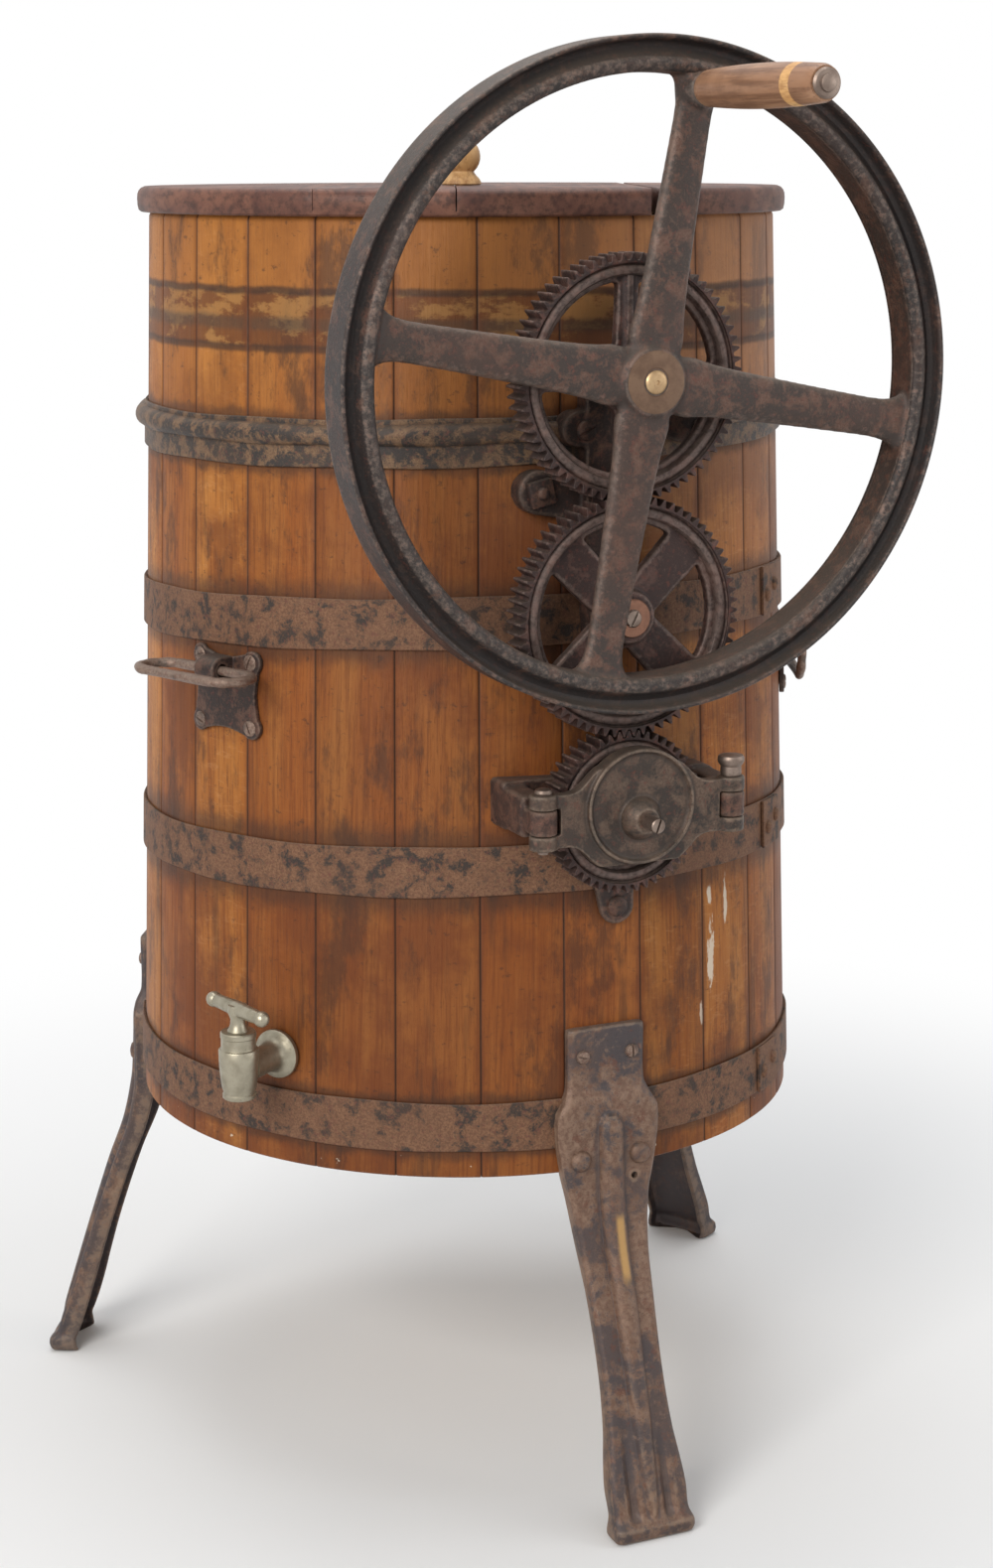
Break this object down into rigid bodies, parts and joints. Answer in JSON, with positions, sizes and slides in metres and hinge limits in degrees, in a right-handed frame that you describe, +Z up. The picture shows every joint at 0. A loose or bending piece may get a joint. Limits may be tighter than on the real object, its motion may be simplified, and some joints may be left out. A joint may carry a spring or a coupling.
{
  "type": "butter churn",
  "caption": "Stave barrel churn on cast legs: a hand-turned flywheel drives a dasher through a gear train, with a lid, a tap, a swing yoke and carrying handles.",
  "frame": {"origin": "on the floor, in the middle of the whole churn's footprint, 0.12011 m in front of the barrel's axis", "axes": "+Z up along the barrel's axis, -Y toward the flywheel and gears, +X to the right of someone facing them"},
  "size_m": [0.6826, 0.7994, 1.13],
  "materials": {
    "varnished_oak": "worn orange-brown varnish",
    "bare_oak": "bare",
    "dark_oak": "dark worn varnish",
    "turned_wood": "worn",
    "hoop_iron": "rusted band iron with black paint left on it",
    "cast_iron": "dark, worn at the edges",
    "gear_iron": "dark and greasy",
    "leg_iron": "rusted, worn bright on the rib",
    "steel": "dull turned steel",
    "nickelled_brass": "dull nickel plate"
  },
  "bodies": {
    "churn": {"stave_01": "varnished_oak", "stave_02": "varnished_oak", "stave_03": "varnished_oak", "stave_04": "varnished_oak", "stave_05": "varnished_oak", "stave_06": "varnished_oak", "stave_07": "varnished_oak", "stave_08": "varnished_oak", "stave_09": "varnished_oak", "stave_10": "varnished_oak", "stave_11": "varnished_oak", "stave_12": "varnished_oak", "stave_13": "varnished_oak", "stave_14": "varnished_oak", "stave_15": "varnished_oak", "stave_16": "varnished_oak", "stave_17": "varnished_oak", "stave_18": "varnished_oak", "stave_19": "varnished_oak", "stave_20": "varnished_oak", "stave_21": "varnished_oak", "stave_22": "varnished_oak", "stave_23": "varnished_oak", "stave_24": "varnished_oak", "stave_25": "varnished_oak", "stave_26": "varnished_oak", "bottom_head": "bare_oak", "rim_hoop": "hoop_iron", "upper_hoop": "hoop_iron", "lower_hoop": "hoop_iron", "foot_hoop": "hoop_iron", "leg_1": "leg_iron", "leg_2": "leg_iron", "leg_3": "leg_iron", "upper_bracket": "cast_iron", "lower_bracket": "cast_iron", "yoke": "cast_iron", "yoke_hinge_pin": "steel", "thrust_screw": "steel", "idler_stud": "steel", "rear_bearing": "cast_iron", "tap_body": "nickelled_brass", "left_handle_plate": "cast_iron", "right_handle_plate": "cast_iron"},
    "flywheel": {"flywheel": "cast_iron", "crank_shaft": "steel", "drive_gear": "gear_iron"},
    "grip": {"grip": "turned_wood"},
    "idler": {"idler_gear": "gear_iron"},
    "dasher": {"dasher_gear": "gear_iron", "dasher_shaft": "steel", "dasher_frame_1": "bare_oak", "dasher_frame_2": "bare_oak"},
    "lid": {"lid_main": "dark_oak", "lid_side_board": "dark_oak", "lid_knob": "turned_wood"},
    "tap_plug": {"tap_plug": "nickelled_brass"},
    "latch_pin": {"latch_pin": "steel"},
    "left_handle": {"left_handle_ring": "cast_iron"},
    "right_handle": {"right_handle_ring": "cast_iron"}
  },
  "joints": [
    {"name": "flywheel_turn", "type": "hinge", "parent": "churn", "child": "flywheel", "pos_m": [0, -0.17989, 0.89], "axis": [0, -1, 0], "continuous": true},
    {"name": "grip_spin", "type": "hinge", "parent": "flywheel", "child": "grip", "pos_m": [0.03577, -0.31389, 1.09287], "axis": [0, -1, 0], "continuous": true},
    {"name": "idler_turn", "type": "hinge", "parent": "churn", "child": "idler", "pos_m": [0, -0.17989, 0.715], "axis": [0, -1, 0], "continuous": true},
    {"name": "dasher_turn", "type": "hinge", "parent": "churn", "child": "dasher", "pos_m": [0, -0.17989, 0.5675], "axis": [0, -1, 0], "continuous": true},
    {"name": "lid_lift", "type": "slide", "parent": "churn", "child": "lid", "axis": [0, 0, 1], "range_m": [0, 0.25]},
    {"name": "tap_turn", "type": "hinge", "parent": "churn", "child": "tap_plug", "pos_m": [-0.26912, -0.06565, 0.3622], "axis": [0, 0, 1], "range_deg": [-70, 20]},
    {"name": "latch_pin_lift", "type": "slide", "parent": "churn", "child": "latch_pin", "axis": [0, 0, 1], "range_m": [0, 0.045]},
    {"name": "left_handle_swing", "type": "hinge", "parent": "churn", "child": "left_handle", "pos_m": [-0.25735, 0.01087, 0.662], "axis": [0.3907, -0.9205, 0], "range_deg": [-88, 88]},
    {"name": "right_handle_swing", "type": "hinge", "parent": "churn", "child": "right_handle", "pos_m": [0.25735, 0.01087, 0.662], "axis": [-0.3907, -0.9205, 0], "range_deg": [-5, 176]}
  ],
  "couplings": [
    {"joint": "idler_turn", "follows": "flywheel_turn", "ratio": -1},
    {"joint": "dasher_turn", "follows": "flywheel_turn", "ratio": 1.4583}
  ]
}
